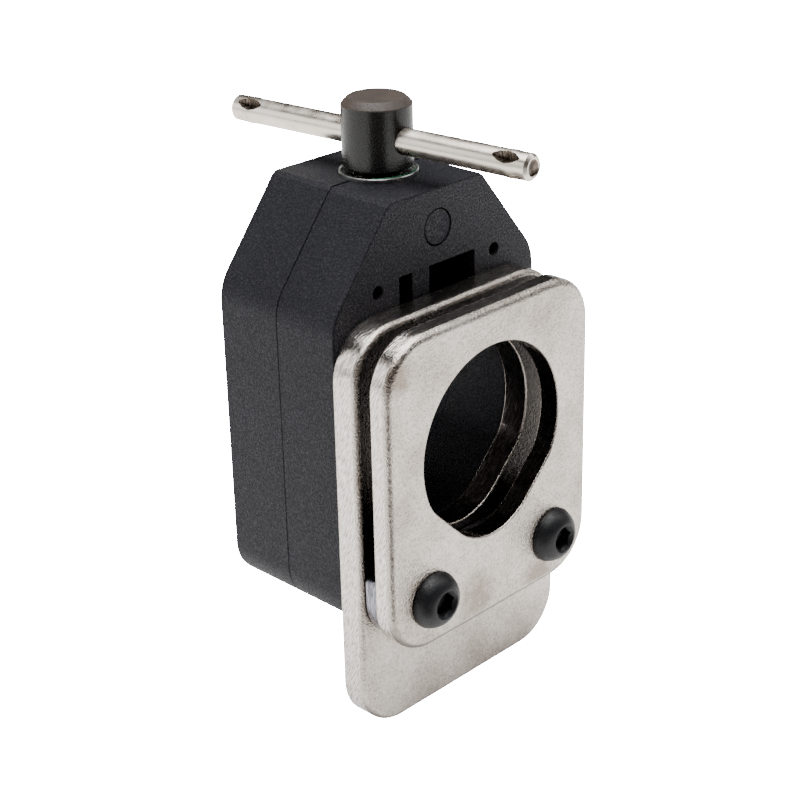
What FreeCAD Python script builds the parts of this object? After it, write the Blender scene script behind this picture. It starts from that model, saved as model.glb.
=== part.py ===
import FreeCAD, Part
import math
import os
import re
import Sketcher
from FreeCAD import Placement, Rotation, Vector

# A clamp-on cutting guide for bicycle steerer tubes, all sizes in millimetres.
# X runs across the plates, Y runs back through the tube hole, Z is up.
# The origin is the axis of the tube hole, on the front face of the housing.

doc = FreeCAD.newDocument("steerer_guide")
os.makedirs("parts", exist_ok=True)

# ---------------------------------------------------------------- sizes
SIZES = [
    ("plate_width", 52.0), ("plate_corner", 9.5), ("plate_top", 24.6),
    ("front_bottom", -34.5), ("back_bottom", -52.5),
    ("front_thick", 4.3), ("back_thick", 5.25), ("blade_gap", 3.35),
    ("spacer_inset", 0.85), ("spacer_corner", 8.7),
    ("guide_radius", 17.6), ("bore_relief", 0.2),
    ("seat_radius", "=guide_radius * 0.7216"),
    ("seat_drop", "=guide_radius * 0.338"),
    ("spacer_top", "=-seat_drop - seat_radius - 1.75"),
    ("guide_screw_gap", 31.9), ("guide_screw_level", -25.35),
    ("guide_screw_radius", 3.0), ("guide_head_radius", 5.2),
    ("guide_head_height", 3.3), ("guide_key", 4.0), ("guide_key_depth", 2.3),
    ("guide_screw_length", 12.7), ("thread_clear", 0.05),
    ("body_width", 50.9), ("body_bottom", -33.3), ("body_top", 43.33),
    ("body_shoulder", 25.8), ("body_flat", 23.1), ("body_split", 13.93),
    ("body_depth", 28.65), ("bottom_corner", 8.0), ("shoulder_corner", 9.0),
    ("front_wall", 2.2), ("rear_wall_at", 24.8),
    ("window_half", 9.5), ("window_top", 29.5),
    ("web_left", -5.95), ("web_right", -1.65), ("web_sink", 0.35),
    ("front_slot_half", 10.3), ("rear_slot_half", 12.2), ("jaw_top", 18.0),
    ("slot_top", "=jaw_top + 13.7"), ("nut_bottom", "=slot_top + 1.3"),
    ("nut_flange_side", 18.0), ("nut_flange_thick", 5.0),
    ("nut_collar_radius", 7.1), ("nut_top", "=body_top + 0.57"), ("nut_clear", 0.05),
    ("ledge_radius", 6.4),
    ("case_screw_half", 14.65), ("case_screw_level", 28.15),
    ("case_screw_radius", 1.45), ("case_tip_at", 2.6), ("case_hole_radius", 1.2),
    ("case_head_radius", 2.7), ("case_head_height", 2.0),
    ("case_seat_depth", 2.6), ("seat_clear", 0.25),
    ("plate_screw_half", 20.5), ("plate_screw_level", 13.0),
    ("plate_screw_radius", 2.0), ("plate_head_radius", 3.5),
    ("plate_head_height", 2.6), ("plate_seat_depth", 4.0),
    ("plate_screw_bite", 3.9), ("plate_key", 2.5),
    ("jaw_bottom", 5.0), ("jaw_rise", 3.2),
    ("jaw_gap", 0.3), ("washer_thick", 1.0), ("washer_radius", 6.0),
    ("jaw_foot", 1.6),
    ("screw_radius", 4.7), ("nut_bore_radius", "=screw_radius + 0.08"),
    ("screw_play", 0.3),
    ("tip_radius", 3.1), ("tip_hole_radius", "=tip_radius + 0.08"),
    ("tip_length", 8.4),
    ("pin_radius", 1.0), ("pin_half", 3.2), ("pin_length", 18.0),
    ("groove_radius", "=pin_half - pin_radius - 0.3"),
    ("groove_width", "=2 * pin_radius + 0.6"), ("groove_level", "=jaw_top - 4.3"),
    ("head_radius", 6.3), ("head_bottom", "=nut_top + 0.7"), ("head_top", 56.83),
    ("head_chamfer", 1.18), ("cross_level", 49.7),
    ("bar_radius", 2.38), ("cross_hole_radius", "=bar_radius + 0.07"),
    ("bar_length", 66.4),
    ("bar_chamfer", 0.6), ("bar_turn", 5.1),
    ("stake_from_end", 4.0), ("stake_half", "=bar_radius + 0.32"),
    ("stake_length", 1.6),
    ("stake_height", 1.1), ("notch_depth", 0.8),
]
sheet = doc.addObject("Spreadsheet::Sheet", "Sizes")
for row, (alias, value) in enumerate(SIZES, start=1):
    sheet.set("A%d" % row, alias)
    sheet.set("B%d" % row, value if isinstance(value, str) else "%g" % value)
    sheet.setAlias("B%d" % row, alias)
doc.recompute()
NAMES = set(name for name, _ in SIZES)


def bound(text):
    """Point every size name in a formula at the sheet."""
    return re.sub(r"[a-z]+(_[a-z]+)+", lambda hit: "Sizes." + hit.group(0), text)


def number(text):
    """Work a formula out in plain numbers, for a first guess at a sketch."""
    values = dict((name, float(sheet.get(name))) for name in NAMES)
    tokens = re.findall(r"[a-z]+(?:_[a-z]+)+|\d+\.?\d*|[-+*/()]", text)
    words = [repr(values[token]) if token in values else token for token in tokens]
    return formula_value(words)


def formula_value(words):
    """Read a list of numbers and signs as a sum, left to right by rank."""
    def factor():
        word = words.pop(0)
        if word == "-":
            return -factor()
        if word == "(":
            inner = total()
            words.pop(0)
            return inner
        return float(word)

    def product():
        left = factor()
        while words and words[0] in "*/":
            if words.pop(0) == "*":
                left = left * factor()
            else:
                left = left / factor()
        return left

    def total():
        left = product()
        while words and words[0] in "+-":
            if words.pop(0) == "+":
                left = left + product()
            else:
                left = left - product()
        return left

    return total()


def tie(thing, **links):
    """Bind properties of an object to formulas; x, y and z are its position."""
    for key, text in links.items():
        path = {"x": "Placement.Base.x", "y": "Placement.Base.y",
                "z": "Placement.Base.z"}.get(key, key)
        thing.setExpression(path, bound(text))
    return thing


# ---------------------------------------------------------------- sketch helpers
PLANES = {"front": "XZ_Plane", "level": "XY_Plane", "side": "YZ_Plane"}


def start_body(label, y="0.0"):
    """Make an empty body and place it along the tube axis."""
    body = doc.addObject("PartDesign::Body", label)
    body.Label = label
    if y != "0.0":
        tie(body, y=y)
    return body


def new_sketch(body, plane, at="0.0"):
    """Attach a sketch to one of the body's own planes, moved along its normal."""
    sketch = body.newObject("Sketcher::SketchObject", body.Label + "_outline")
    role = PLANES[plane]
    support = [item for item in body.Origin.OriginFeatures if item.Role == role][0]
    sketch.AttachmentSupport = [(support, "")]
    sketch.MapMode = "FlatFace"
    if at != "0.0":
        sketch.setExpression("AttachmentOffset.Base.z", bound(at))
    return sketch


def fix_point(sketch, geometry, end, across, up):
    """Hold a sketch point at two formulas measured from the sketch origin."""
    for kind, axis, text in (("DistanceX", -2, across), ("DistanceY", -1, up)):
        value = number(text)
        if abs(value) < 1e-9:
            sketch.addConstraint(
                Sketcher.Constraint("PointOnObject", geometry, end, axis))
            continue
        index = sketch.addConstraint(
            Sketcher.Constraint(kind, -1, 1, geometry, end, value))
        sketch.setExpression("Constraints[%d]" % index, bound(text))


def draw_polygon(sketch, points):
    """Draw a closed outline whose every corner is held by two formulas."""
    corners = [Vector(number(x), number(y), 0) for x, y in points]
    count = len(corners)
    for index in range(count):
        sketch.addGeometry(
            Part.LineSegment(corners[index], corners[(index + 1) % count]), False)
    for index in range(count):
        sketch.addConstraint(
            Sketcher.Constraint("Coincident", index, 2, (index + 1) % count, 1))
    for index, (x, y) in enumerate(points):
        fix_point(sketch, index, 1, x, y)


def draw_rectangle(sketch, left, right, low, high):
    draw_polygon(sketch, [(left, low), (right, low), (right, high), (left, high)])


def draw_circle(sketch, across, up, radius):
    """Draw a circle held by its centre and its radius."""
    centre = Vector(number(across), number(up), 0)
    index = sketch.addGeometry(
        Part.Circle(centre, Vector(0, 0, 1), number(radius)), False)
    size = sketch.addConstraint(Sketcher.Constraint("Radius", index, number(radius)))
    sketch.setExpression("Constraints[%d]" % size, bound(radius))
    fix_point(sketch, index, 3, across, up)


def draw_guide(sketch, extra="0.0"):
    """Draw the tube hole: round above, a right-angled seat with a round tip below."""
    big = number("guide_radius+" + extra)
    tip = number("seat_radius+" + extra)
    drop = number("seat_drop")
    flat = drop * math.sqrt(0.5) + tip
    half = math.sqrt(big * big - flat * flat)
    diagonal = math.sqrt(0.5)
    meet = Vector((flat + half) * diagonal, (half - flat) * diagonal, 0)
    touch = Vector(tip * diagonal, -drop - tip * diagonal, 0)
    start = math.atan2(meet.y, meet.x)
    round_top = Part.ArcOfCircle(
        Part.Circle(Vector(0, 0, 0), Vector(0, 0, 1), big), start, math.pi - start)
    round_tip = Part.ArcOfCircle(
        Part.Circle(Vector(0, -drop, 0), Vector(0, 0, 1), tip),
        math.radians(225), math.radians(315))
    left_flat = Part.LineSegment(
        Vector(-meet.x, meet.y, 0), Vector(-touch.x, touch.y, 0))
    right_flat = Part.LineSegment(touch, meet)
    for piece in (round_top, left_flat, round_tip, right_flat):
        sketch.addGeometry(piece, False)
    add = sketch.addConstraint
    add(Sketcher.Constraint("Coincident", 0, 3, -1, 1))
    size = add(Sketcher.Constraint("Radius", 0, big))
    sketch.setExpression("Constraints[%d]" % size, bound("guide_radius+" + extra))
    size = add(Sketcher.Constraint("Radius", 2, tip))
    sketch.setExpression("Constraints[%d]" % size, bound("seat_radius+" + extra))
    add(Sketcher.Constraint("PointOnObject", 2, 3, -2))
    size = add(Sketcher.Constraint("DistanceY", -1, 1, 2, 3, -drop))
    sketch.setExpression("Constraints[%d]" % size, bound("-seat_drop"))
    add(Sketcher.Constraint("Coincident", 0, 2, 1, 1))
    add(Sketcher.Constraint("Coincident", 3, 2, 0, 1))
    add(Sketcher.Constraint("Tangent", 1, 2, 2, 1))
    add(Sketcher.Constraint("Tangent", 2, 2, 3, 1))
    add(Sketcher.Constraint("Perpendicular", 1, 3))
    add(Sketcher.Constraint("Angle", 3, math.radians(45)))


def pad(body, sketch, length, backward=True):
    """Raise a sketch; backward runs along +Y for a front sketch."""
    feature = body.newObject("PartDesign::Pad", body.Label + "_pad")
    feature.Profile = sketch
    feature.Reversed = backward
    feature.setExpression("Length", bound(length))
    body.Tip = feature
    doc.recompute()
    return feature


def cut(body, sketch, length, flip=False):
    """Sink a sketch and make sure that it took something away."""
    before = body.Shape.Volume
    feature = body.newObject("PartDesign::Pocket", body.Label + "_cut")
    feature.Profile = sketch
    feature.Reversed = flip
    feature.setExpression("Length", bound(length))
    body.Tip = feature
    doc.recompute()
    if body.Shape.Volume > before - 0.5:
        raise RuntimeError("nothing cut from " + body.Label)
    return feature


def round_edges(body, keep, radius, kind="PartDesign::Fillet"):
    """Round or bevel the edges of the body that pass a test."""
    base = body.Tip
    names = []
    for index, edge in enumerate(base.Shape.Edges, start=1):
        if keep(edge):
            names.append("Edge%d" % index)
    if not names:
        raise RuntimeError("no edge found on " + body.Label)
    feature = body.newObject(kind, body.Label + "_edge")
    feature.Base = (base, names)
    feature.setExpression("Radius" if "Fillet" in kind else "Size", bound(radius))
    body.Tip = feature
    doc.recompute()


def runs_along_y(edge):
    """True for a straight edge parallel to the tube axis."""
    if edge.Curve.TypeId != "Part::GeomLine":
        return False
    step = edge.Vertexes[1].Point - edge.Vertexes[0].Point
    return abs(step.y) > 0.9 * step.Length


def near(edge, x, z, reach=0.5):
    """True when an edge passes the given distance across and height."""
    middle = edge.CenterOfMass
    return abs(abs(middle.x) - x) < reach and abs(middle.z - z) < reach


def spin(body, points, plane="level"):
    """Turn an outline about the upright axis of its sketch."""
    sketch = new_sketch(body, plane)
    draw_polygon(sketch, points)
    feature = body.newObject("PartDesign::Revolution", body.Label + "_turned")
    feature.Profile = sketch
    feature.ReferenceAxis = (sketch, ["V_Axis"])
    feature.Angle = 360.0
    body.Tip = feature
    doc.recompute()


def hexagon(key):
    """The six corners of a socket, pointing up and down."""
    side = key + "*0.57735"
    half = key + "*0.288675"
    flat = key + "/2"
    return [("0.0", "-" + side), (flat, "-" + half), (flat, half),
            ("0.0", side), ("-" + flat, half), ("-" + flat, "-" + half)]


# ---------------------------------------------------------------- steel plates
def guide_plate(label, y, thick, bottom):
    """A flat steel plate with rounded corners and the tube hole."""
    body = start_body(label, y)
    sketch = new_sketch(body, "front")
    draw_rectangle(sketch, "-plate_width/2", "plate_width/2", bottom, "plate_top")
    pad(body, sketch, thick)
    round_edges(body, runs_along_y, "plate_corner")
    sketch = new_sketch(body, "front")
    draw_guide(sketch)
    cut(body, sketch, thick)
    for side in ("-", ""):
        sketch = new_sketch(body, "front")
        draw_circle(sketch, side + "guide_screw_gap/2", "guide_screw_level",
                    "guide_screw_radius+thread_clear")
        cut(body, sketch, thick)
    return body


front_plate = guide_plate("front_guide_plate", "-back_thick-blade_gap-front_thick",
                          "front_thick", "front_bottom")
back_plate = guide_plate("back_guide_plate", "-back_thick", "back_thick",
                         "back_bottom")

# Four blind tapped holes in the back face take the long screws of the housing.
for across in ("-plate_screw_half", "plate_screw_half"):
    for level in ("-plate_screw_level", "plate_screw_level"):
        hole = new_sketch(back_plate, "front", "plate_screw_bite+0.2-back_thick")
        draw_circle(hole, across, level, "plate_screw_radius+thread_clear")
        cut(back_plate, hole, "plate_screw_bite+0.2")

# The spacer keeps the saw slot open and is a little smaller than the plates.
spacer = start_body("blade_spacer", "-back_thick-blade_gap")
outline = new_sketch(spacer, "front")
draw_rectangle(outline, "spacer_inset-plate_width/2", "plate_width/2-spacer_inset",
               "front_bottom+spacer_inset", "spacer_top")
pad(spacer, outline, "blade_gap")
round_edges(spacer, lambda edge: runs_along_y(edge) and edge.CenterOfMass.z < -30,
            "spacer_corner")
for side in ("-", ""):
    hole = new_sketch(spacer, "front")
    draw_circle(hole, side + "guide_screw_gap/2", "guide_screw_level",
                "guide_screw_radius+thread_clear")
    cut(spacer, hole, "blade_gap")


# ---------------------------------------------------------------- screws in the plates
def guide_screw(label, side):
    """A button-head screw, turned, with a hexagon socket."""
    body = start_body(label, "-back_thick-blade_gap-front_thick")
    tie(body, x=side + "guide_screw_gap/2", z="guide_screw_level")
    spin(body, [
        ("0.0", "-guide_head_height"),
        ("guide_head_radius*0.56", "-guide_head_height"),
        ("guide_head_radius*0.77", "-guide_head_height*0.74"),
        ("guide_head_radius*0.93", "-guide_head_height*0.42"),
        ("guide_head_radius", "-guide_head_height*0.18"),
        ("guide_head_radius", "0.0"),
        ("guide_screw_radius", "0.0"),
        ("guide_screw_radius", "guide_screw_length-0.6"),
        ("guide_screw_radius-0.6", "guide_screw_length"),
        ("0.0", "guide_screw_length")])
    sketch = new_sketch(body, "front", "guide_head_height")
    draw_polygon(sketch, hexagon("guide_key"))
    cut(body, sketch, "guide_key_depth")
    return body


guide_screws = [guide_screw("guide_screw_left", "-"),
                guide_screw("guide_screw_right", "")]


# ---------------------------------------------------------------- moulded housing
def housing_half(label, start, depth):
    """One half of the housing with the shouldered outline and the tube bore."""
    body = start_body(label, start)
    sketch = new_sketch(body, "front")
    draw_polygon(sketch, [
        ("-body_width/2", "body_bottom"), ("body_width/2", "body_bottom"),
        ("body_width/2", "body_shoulder"), ("body_flat/2", "body_top"),
        ("-body_flat/2", "body_top"), ("-body_width/2", "body_shoulder")])
    pad(body, sketch, depth)
    half = number("body_width/2")
    low = number("body_bottom")
    shoulder = number("body_shoulder")
    round_edges(body, lambda edge: runs_along_y(edge) and near(edge, half, low),
                "bottom_corner")
    round_edges(body, lambda edge: runs_along_y(edge) and near(edge, half, shoulder),
                "shoulder_corner")
    sketch = new_sketch(body, "front")
    draw_guide(sketch, "bore_relief")
    cut(body, sketch, depth)
    for across in ("-plate_screw_half", "plate_screw_half"):
        for level in ("-plate_screw_level", "plate_screw_level"):
            sketch = new_sketch(body, "front")
            draw_circle(sketch, across, level, "plate_screw_radius+0.15")
            cut(body, sketch, depth)
    return body


def nut_room(body, centre):
    """Clear the seat of the clamp nut, its collar and the ledge under it."""
    flange = "nut_flange_side/2+nut_clear"
    sketch = new_sketch(body, "level", "nut_bottom+nut_flange_thick")
    draw_rectangle(sketch, "-" + flange.replace("+", "-"), flange,
                   centre + "-nut_flange_side/2-nut_clear", centre + "+" + flange)
    cut(body, sketch, "nut_flange_thick")
    sketch = new_sketch(body, "level", "body_top+1.0")
    draw_circle(sketch, "0.0", centre, "nut_collar_radius+nut_clear")
    cut(body, sketch, "body_top+1.0-nut_bottom-nut_flange_thick")
    sketch = new_sketch(body, "level", "nut_bottom")
    draw_circle(sketch, "0.0", centre, "ledge_radius")
    cut(body, sketch, "nut_bottom-slot_top+0.5")


front_half = housing_half("front_housing", "0.0", "body_split")
room = new_sketch(front_half, "front", "-front_wall")
draw_rectangle(room, "-front_slot_half", "front_slot_half", "0.0", "slot_top")
cut(front_half, room, "body_split-front_wall")
for left, right in (("-window_half", "web_left"), ("web_right", "window_half")):
    window = new_sketch(front_half, "front")
    draw_rectangle(window, left, right, "0.0", "window_top")
    cut(front_half, window, "front_wall+0.1")
# A narrow web hangs in the window, sunk a little below the front face.
web = new_sketch(front_half, "front")
draw_rectangle(web, "web_left", "web_right", "0.0", "window_top")
cut(front_half, web, "web_sink")
nut_room(front_half, "body_split")
for across in ("-case_screw_half", "case_screw_half"):
    through = new_sketch(front_half, "front")
    draw_circle(through, across, "case_screw_level", "case_hole_radius")
    cut(front_half, through, "body_split")
    bite = new_sketch(front_half, "front", "-case_tip_at+0.2")
    draw_circle(bite, across, "case_screw_level", "case_screw_radius+thread_clear")
    cut(front_half, bite, "body_split-case_tip_at+0.2")

rear_half = housing_half("rear_housing", "body_split", "body_depth-body_split")
room = new_sketch(rear_half, "front")
draw_rectangle(room, "-rear_slot_half", "rear_slot_half", "0.0", "slot_top")
cut(rear_half, room, "rear_wall_at-body_split")
nut_room(rear_half, "0.0")
for across in ("-case_screw_half", "case_screw_half"):
    through = new_sketch(rear_half, "front")
    draw_circle(through, across, "case_screw_level", "case_screw_radius+0.1")
    cut(rear_half, through, "body_depth-body_split")
    seat = new_sketch(rear_half, "front", "body_split-body_depth+case_seat_depth")
    draw_circle(seat, across, "case_screw_level", "case_head_radius+seat_clear")
    cut(rear_half, seat, "case_seat_depth")
for across in ("-plate_screw_half", "plate_screw_half"):
    for level in ("-plate_screw_level", "plate_screw_level"):
        seat = new_sketch(rear_half, "front",
                          "body_split-body_depth+plate_seat_depth")
        draw_circle(seat, across, level, "plate_head_radius+seat_clear")
        cut(rear_half, seat, "plate_seat_depth")


# ---------------------------------------------------------------- housing screws
def pan_screw(label, across, level, seat, head, head_height, radius, reach):
    """A screw driven from the rear; its head sits down in the housing."""
    body = start_body(label, seat)
    tie(body, x=across, z=level)
    spin(body, [
        ("0.0", "-" + reach), (radius + "-0.4", "-" + reach),
        (radius, "-" + reach + "+0.6"), (radius, "0.0"), (head, "0.0"),
        (head, head_height + "*0.6"), (head + "*0.8", head_height),
        ("0.0", head_height)])
    sketch = new_sketch(body, "front", "-" + head_height)
    draw_polygon(sketch, hexagon("plate_key"))
    cut(body, sketch, head_height + "*0.6", flip=True)
    return body


case_screws = []
for side, sign in (("left", "-"), ("right", "")):
    case_screws.append(pan_screw(
        "housing_screw_" + side, sign + "case_screw_half", "case_screw_level",
        "body_depth-case_seat_depth", "case_head_radius", "case_head_height",
        "case_screw_radius", "(body_depth-case_seat_depth-case_tip_at)"))
plate_screws = []
for height, lift in (("upper", ""), ("lower", "-")):
    for side, sign in (("left", "-"), ("right", "")):
        plate_screws.append(pan_screw(
            "plate_screw_" + height + "_" + side, sign + "plate_screw_half",
            lift + "plate_screw_level", "body_depth-plate_seat_depth",
            "plate_head_radius", "plate_head_height", "plate_screw_radius",
            "(body_depth-plate_seat_depth+plate_screw_bite)"))

# ---------------------------------------------------------------- clamp nut
flange = doc.addObject("Part::Box", "nut_flange")
tie(flange, Length="nut_flange_side", Width="nut_flange_side",
    Height="nut_flange_thick", x="-nut_flange_side/2",
    y="body_split-nut_flange_side/2", z="nut_bottom")
collar = doc.addObject("Part::Cylinder", "nut_collar")
tie(collar, Radius="nut_collar_radius", Height="nut_top-nut_bottom",
    y="body_split", z="nut_bottom")
blank = doc.addObject("Part::Fuse", "nut_blank")
blank.Base = flange
blank.Tool = collar
thread = doc.addObject("Part::Cylinder", "nut_thread")
tie(thread, Radius="nut_bore_radius", Height="nut_top-nut_bottom+2.0",
    y="body_split", z="nut_bottom-1.0")
clamp_nut = doc.addObject("Part::Cut", "clamp_nut")
clamp_nut.Base = blank
clamp_nut.Tool = thread

# ---------------------------------------------------------------- sliding jaw
jaw = start_body("clamp_jaw")
outline = new_sketch(jaw, "front", "-front_wall-jaw_gap")
narrow = "front_slot_half-jaw_gap"
draw_polygon(outline, [
    ("-front_slot_half+jaw_gap", "jaw_bottom"),
    ("-front_slot_half+jaw_gap+jaw_foot", "jaw_bottom"),
    ("0.0", "jaw_bottom+jaw_rise"),
    (narrow + "-jaw_foot", "jaw_bottom"), (narrow, "jaw_bottom"),
    (narrow, "jaw_top"), ("-front_slot_half+jaw_gap", "jaw_top")])
pad(jaw, outline, "rear_wall_at-front_wall-jaw_gap-jaw_gap")
outline = new_sketch(jaw, "front", "-body_split-jaw_gap")
wide = "rear_slot_half-jaw_gap"
draw_polygon(outline, [
    ("-rear_slot_half+jaw_gap", "jaw_bottom"),
    ("-rear_slot_half+jaw_gap+jaw_foot", "jaw_bottom"),
    ("0.0", "jaw_bottom+jaw_rise"),
    (wide + "-jaw_foot", "jaw_bottom"), (wide, "jaw_bottom"),
    (wide, "jaw_top"), ("-rear_slot_half+jaw_gap", "jaw_top")])
pad(jaw, outline, "rear_wall_at-body_split-jaw_gap-jaw_gap")
hole = new_sketch(jaw, "level", "jaw_top")
draw_circle(hole, "0.0", "body_split", "tip_hole_radius")
cut(jaw, hole, "tip_length+0.3")
for side in ("-", ""):
    hole = new_sketch(jaw, "front", "-rear_wall_at")
    draw_circle(hole, side + "pin_half", "groove_level", "pin_radius+0.02")
    cut(jaw, hole, "pin_length+jaw_gap+0.1", flip=True)

# Two pins cross the groove of the screw so that the jaw is pulled up as well.
jaw_pins = []
for side, sign in (("left", "-"), ("right", "")):
    pin = doc.addObject("Part::Cylinder", "jaw_pin_" + side)
    pin.Placement = Placement(Vector(0, 0, 0), Rotation(Vector(1, 0, 0), -90))
    tie(pin, Radius="pin_radius", Height="pin_length", x=sign + "pin_half",
        y="rear_wall_at-jaw_gap-0.05-pin_length", z="groove_level")
    jaw_pins.append(pin)

# A hardened washer takes the push of the screw on top of the jaw.
disc = doc.addObject("Part::Cylinder", "washer_disc")
tie(disc, Radius="washer_radius", Height="washer_thick",
    y="body_split", z="jaw_top")
eye = doc.addObject("Part::Cylinder", "washer_eye")
tie(eye, Radius="tip_hole_radius", Height="washer_thick+2.0",
    y="body_split", z="jaw_top-1.0")
thrust_washer = doc.addObject("Part::Cut", "thrust_washer")
thrust_washer.Base = disc
thrust_washer.Tool = eye

# ---------------------------------------------------------------- clamp screw
screw = start_body("clamp_screw", "body_split")
shoulder = "jaw_top+washer_thick+screw_play"
tip_end = "jaw_top-tip_length"
spin(screw, [
    ("0.0", tip_end), ("tip_radius-0.5", tip_end), ("tip_radius", tip_end + "+0.5"),
    ("tip_radius", "groove_level-groove_width/2"),
    ("groove_radius", "groove_level-groove_width/2"),
    ("groove_radius", "groove_level+groove_width/2"),
    ("tip_radius", "groove_level+groove_width/2"),
    ("tip_radius", shoulder), ("screw_radius-0.5", shoulder),
    ("screw_radius", shoulder + "+0.5"), ("screw_radius", "head_bottom"),
    ("head_radius-0.4", "head_bottom"), ("head_radius", "head_bottom+0.4"),
    ("head_radius", "head_top-head_chamfer"),
    ("head_radius-head_chamfer", "head_top"), ("0.0", "head_top")], "front")
hole = new_sketch(screw, "front", "head_radius+1.0")
draw_circle(hole, "0.0", "cross_level", "cross_hole_radius")
cut(screw, hole, "head_radius*2+2.0")
screw.Placement = Placement(Vector(0, 0, 0), Rotation(Vector(0, 0, 1), 5.1))
tie(screw, y="body_split")
screw.setExpression("Placement.Rotation.Angle", "Sizes.bar_turn * 1 deg")

# ---------------------------------------------------------------- sliding bar
bar = start_body("t_bar")
spin(bar, [
    ("0.0", "-bar_length/2"), ("bar_radius-bar_chamfer", "-bar_length/2"),
    ("bar_radius", "-bar_length/2+bar_chamfer"),
    ("bar_radius", "bar_length/2-bar_chamfer"),
    ("bar_radius-bar_chamfer", "bar_length/2"), ("0.0", "bar_length/2")])
middle = "(bar_length/2-stake_from_end)"
for sign in ("-", ""):
    lobe = new_sketch(bar, "level", "stake_height-0.2")
    draw_rectangle(lobe, "-stake_half", "stake_half",
                   sign + middle + "-stake_length/2",
                   sign + middle + "+stake_length/2")
    pad(bar, lobe, "stake_height")
for sign in ("-", ""):
    notch = new_sketch(bar, "side", "-bar_radius-1.0")
    draw_polygon(notch, [
        (sign + middle + "-1.6", "bar_radius+0.4"),
        (sign + middle, "bar_radius-notch_depth"),
        (sign + middle + "+1.6", "bar_radius+0.4")])
    cut(bar, notch, "bar_radius*2+2.0", flip=True)
bar.Placement = Placement(Vector(0, 0, 0), Rotation(Vector(0, 0, 1), 5.1))
tie(bar, y="body_split", z="cross_level")
bar.setExpression("Placement.Rotation.Angle", "Sizes.bar_turn * 1 deg")

# ---------------------------------------------------------------- check and write
doc.recompute()
nodes = [front_half, rear_half, back_plate, spacer, front_plate, clamp_nut]
nodes += guide_screws + case_screws + plate_screws
nodes += [jaw, thrust_washer] + jaw_pins + [screw, bar]
for item in doc.Objects:
    if "Invalid" in item.State or "Error" in item.State:
        raise RuntimeError("not computed: " + item.Label)
for node in nodes:
    shape = node.Shape
    if not shape.isValid() or len(shape.Solids) != 1:
        raise RuntimeError("bad solid: " + node.Label)
    shape.exportStep("parts/" + node.Label + ".step")
    box = shape.BoundBox
    print("%-26s %9.1f mm3  X %6.2f %6.2f  Y %6.2f %6.2f  Z %6.2f %6.2f" % (
        node.Label, shape.Volume, box.XMin, box.XMax, box.YMin, box.YMax,
        box.ZMin, box.ZMax))
print("nodes written:", len(nodes))
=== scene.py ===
import bpy
import bmesh
import math
from mathutils import Matrix, Vector


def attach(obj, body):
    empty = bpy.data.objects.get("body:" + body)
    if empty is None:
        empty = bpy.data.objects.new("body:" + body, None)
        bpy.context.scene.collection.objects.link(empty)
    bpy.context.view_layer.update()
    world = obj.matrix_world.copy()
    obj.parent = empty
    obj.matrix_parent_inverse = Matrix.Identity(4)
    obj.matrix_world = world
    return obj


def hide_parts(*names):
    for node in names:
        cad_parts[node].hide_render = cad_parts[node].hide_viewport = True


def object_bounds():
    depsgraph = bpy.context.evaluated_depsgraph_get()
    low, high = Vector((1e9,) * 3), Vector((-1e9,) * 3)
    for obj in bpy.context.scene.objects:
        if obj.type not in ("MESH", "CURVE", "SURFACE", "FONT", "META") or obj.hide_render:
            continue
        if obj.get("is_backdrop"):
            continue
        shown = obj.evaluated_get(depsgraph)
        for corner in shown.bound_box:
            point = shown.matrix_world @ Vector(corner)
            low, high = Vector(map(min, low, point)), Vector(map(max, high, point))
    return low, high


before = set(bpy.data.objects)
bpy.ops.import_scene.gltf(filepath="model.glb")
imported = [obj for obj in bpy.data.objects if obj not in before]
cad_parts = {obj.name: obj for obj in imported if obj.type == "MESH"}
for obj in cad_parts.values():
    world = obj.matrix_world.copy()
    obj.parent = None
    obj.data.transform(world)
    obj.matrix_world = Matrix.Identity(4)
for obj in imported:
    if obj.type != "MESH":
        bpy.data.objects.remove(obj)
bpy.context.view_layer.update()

# ------------------------------------------------------------ front guide plate
# The outer saw plate, punched from 4.3 mm steel so that its front edges are rolled soft,
# then tumbled and nickel plated. Two button-head screws hold it over the saw slot.
plate_half = 26.0
plate_top = 24.6
plate_corner = 9.5
front_plate_bottom = -34.5
front_plate_face = -12.9
slot_front = -8.6
slot_back = -5.25
guide_screw_x = 15.95
guide_screw_z = -25.35
guide_screw_hole = 3.05
hole_radius = 17.6
seat_radius = 12.7
seat_drop = 5.95
seat_ease = 9.0


def arc(cx, cz, radius, first, last, count):
    """Points along an arc, angles in degrees."""
    points = []
    for i in range(count + 1):
        angle = math.radians(first + (last - first) * i / count)
        points.append((cx + radius * math.cos(angle), cz + radius * math.sin(angle)))
    return points


def circle(cx, cz, radius, count=48):
    """Points all the way round."""
    return arc(cx, cz, radius, 0, 360 - 360 / count, count - 1)


def rounded(corners, radii, steps=14):
    """An outline with each corner swept into an arc."""
    points = []
    count = len(corners)
    for i, radius in enumerate(radii):
        here = Vector(corners[i])
        before = (Vector(corners[i - 1]) - here).normalized()
        after = (Vector(corners[(i + 1) % count]) - here).normalized()
        half = before.angle(after) / 2
        reach = radius / math.tan(half)
        centre = here + (before + after).normalized() * (radius / math.sin(half))
        start = here + before * reach - centre
        end = here + after * reach - centre
        sweep = start.angle_signed(end)
        for k in range(steps + 1):
            turn = Matrix.Rotation(-sweep * k / steps, 2)
            points.append(tuple(centre + turn @ start))
    return points


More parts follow.
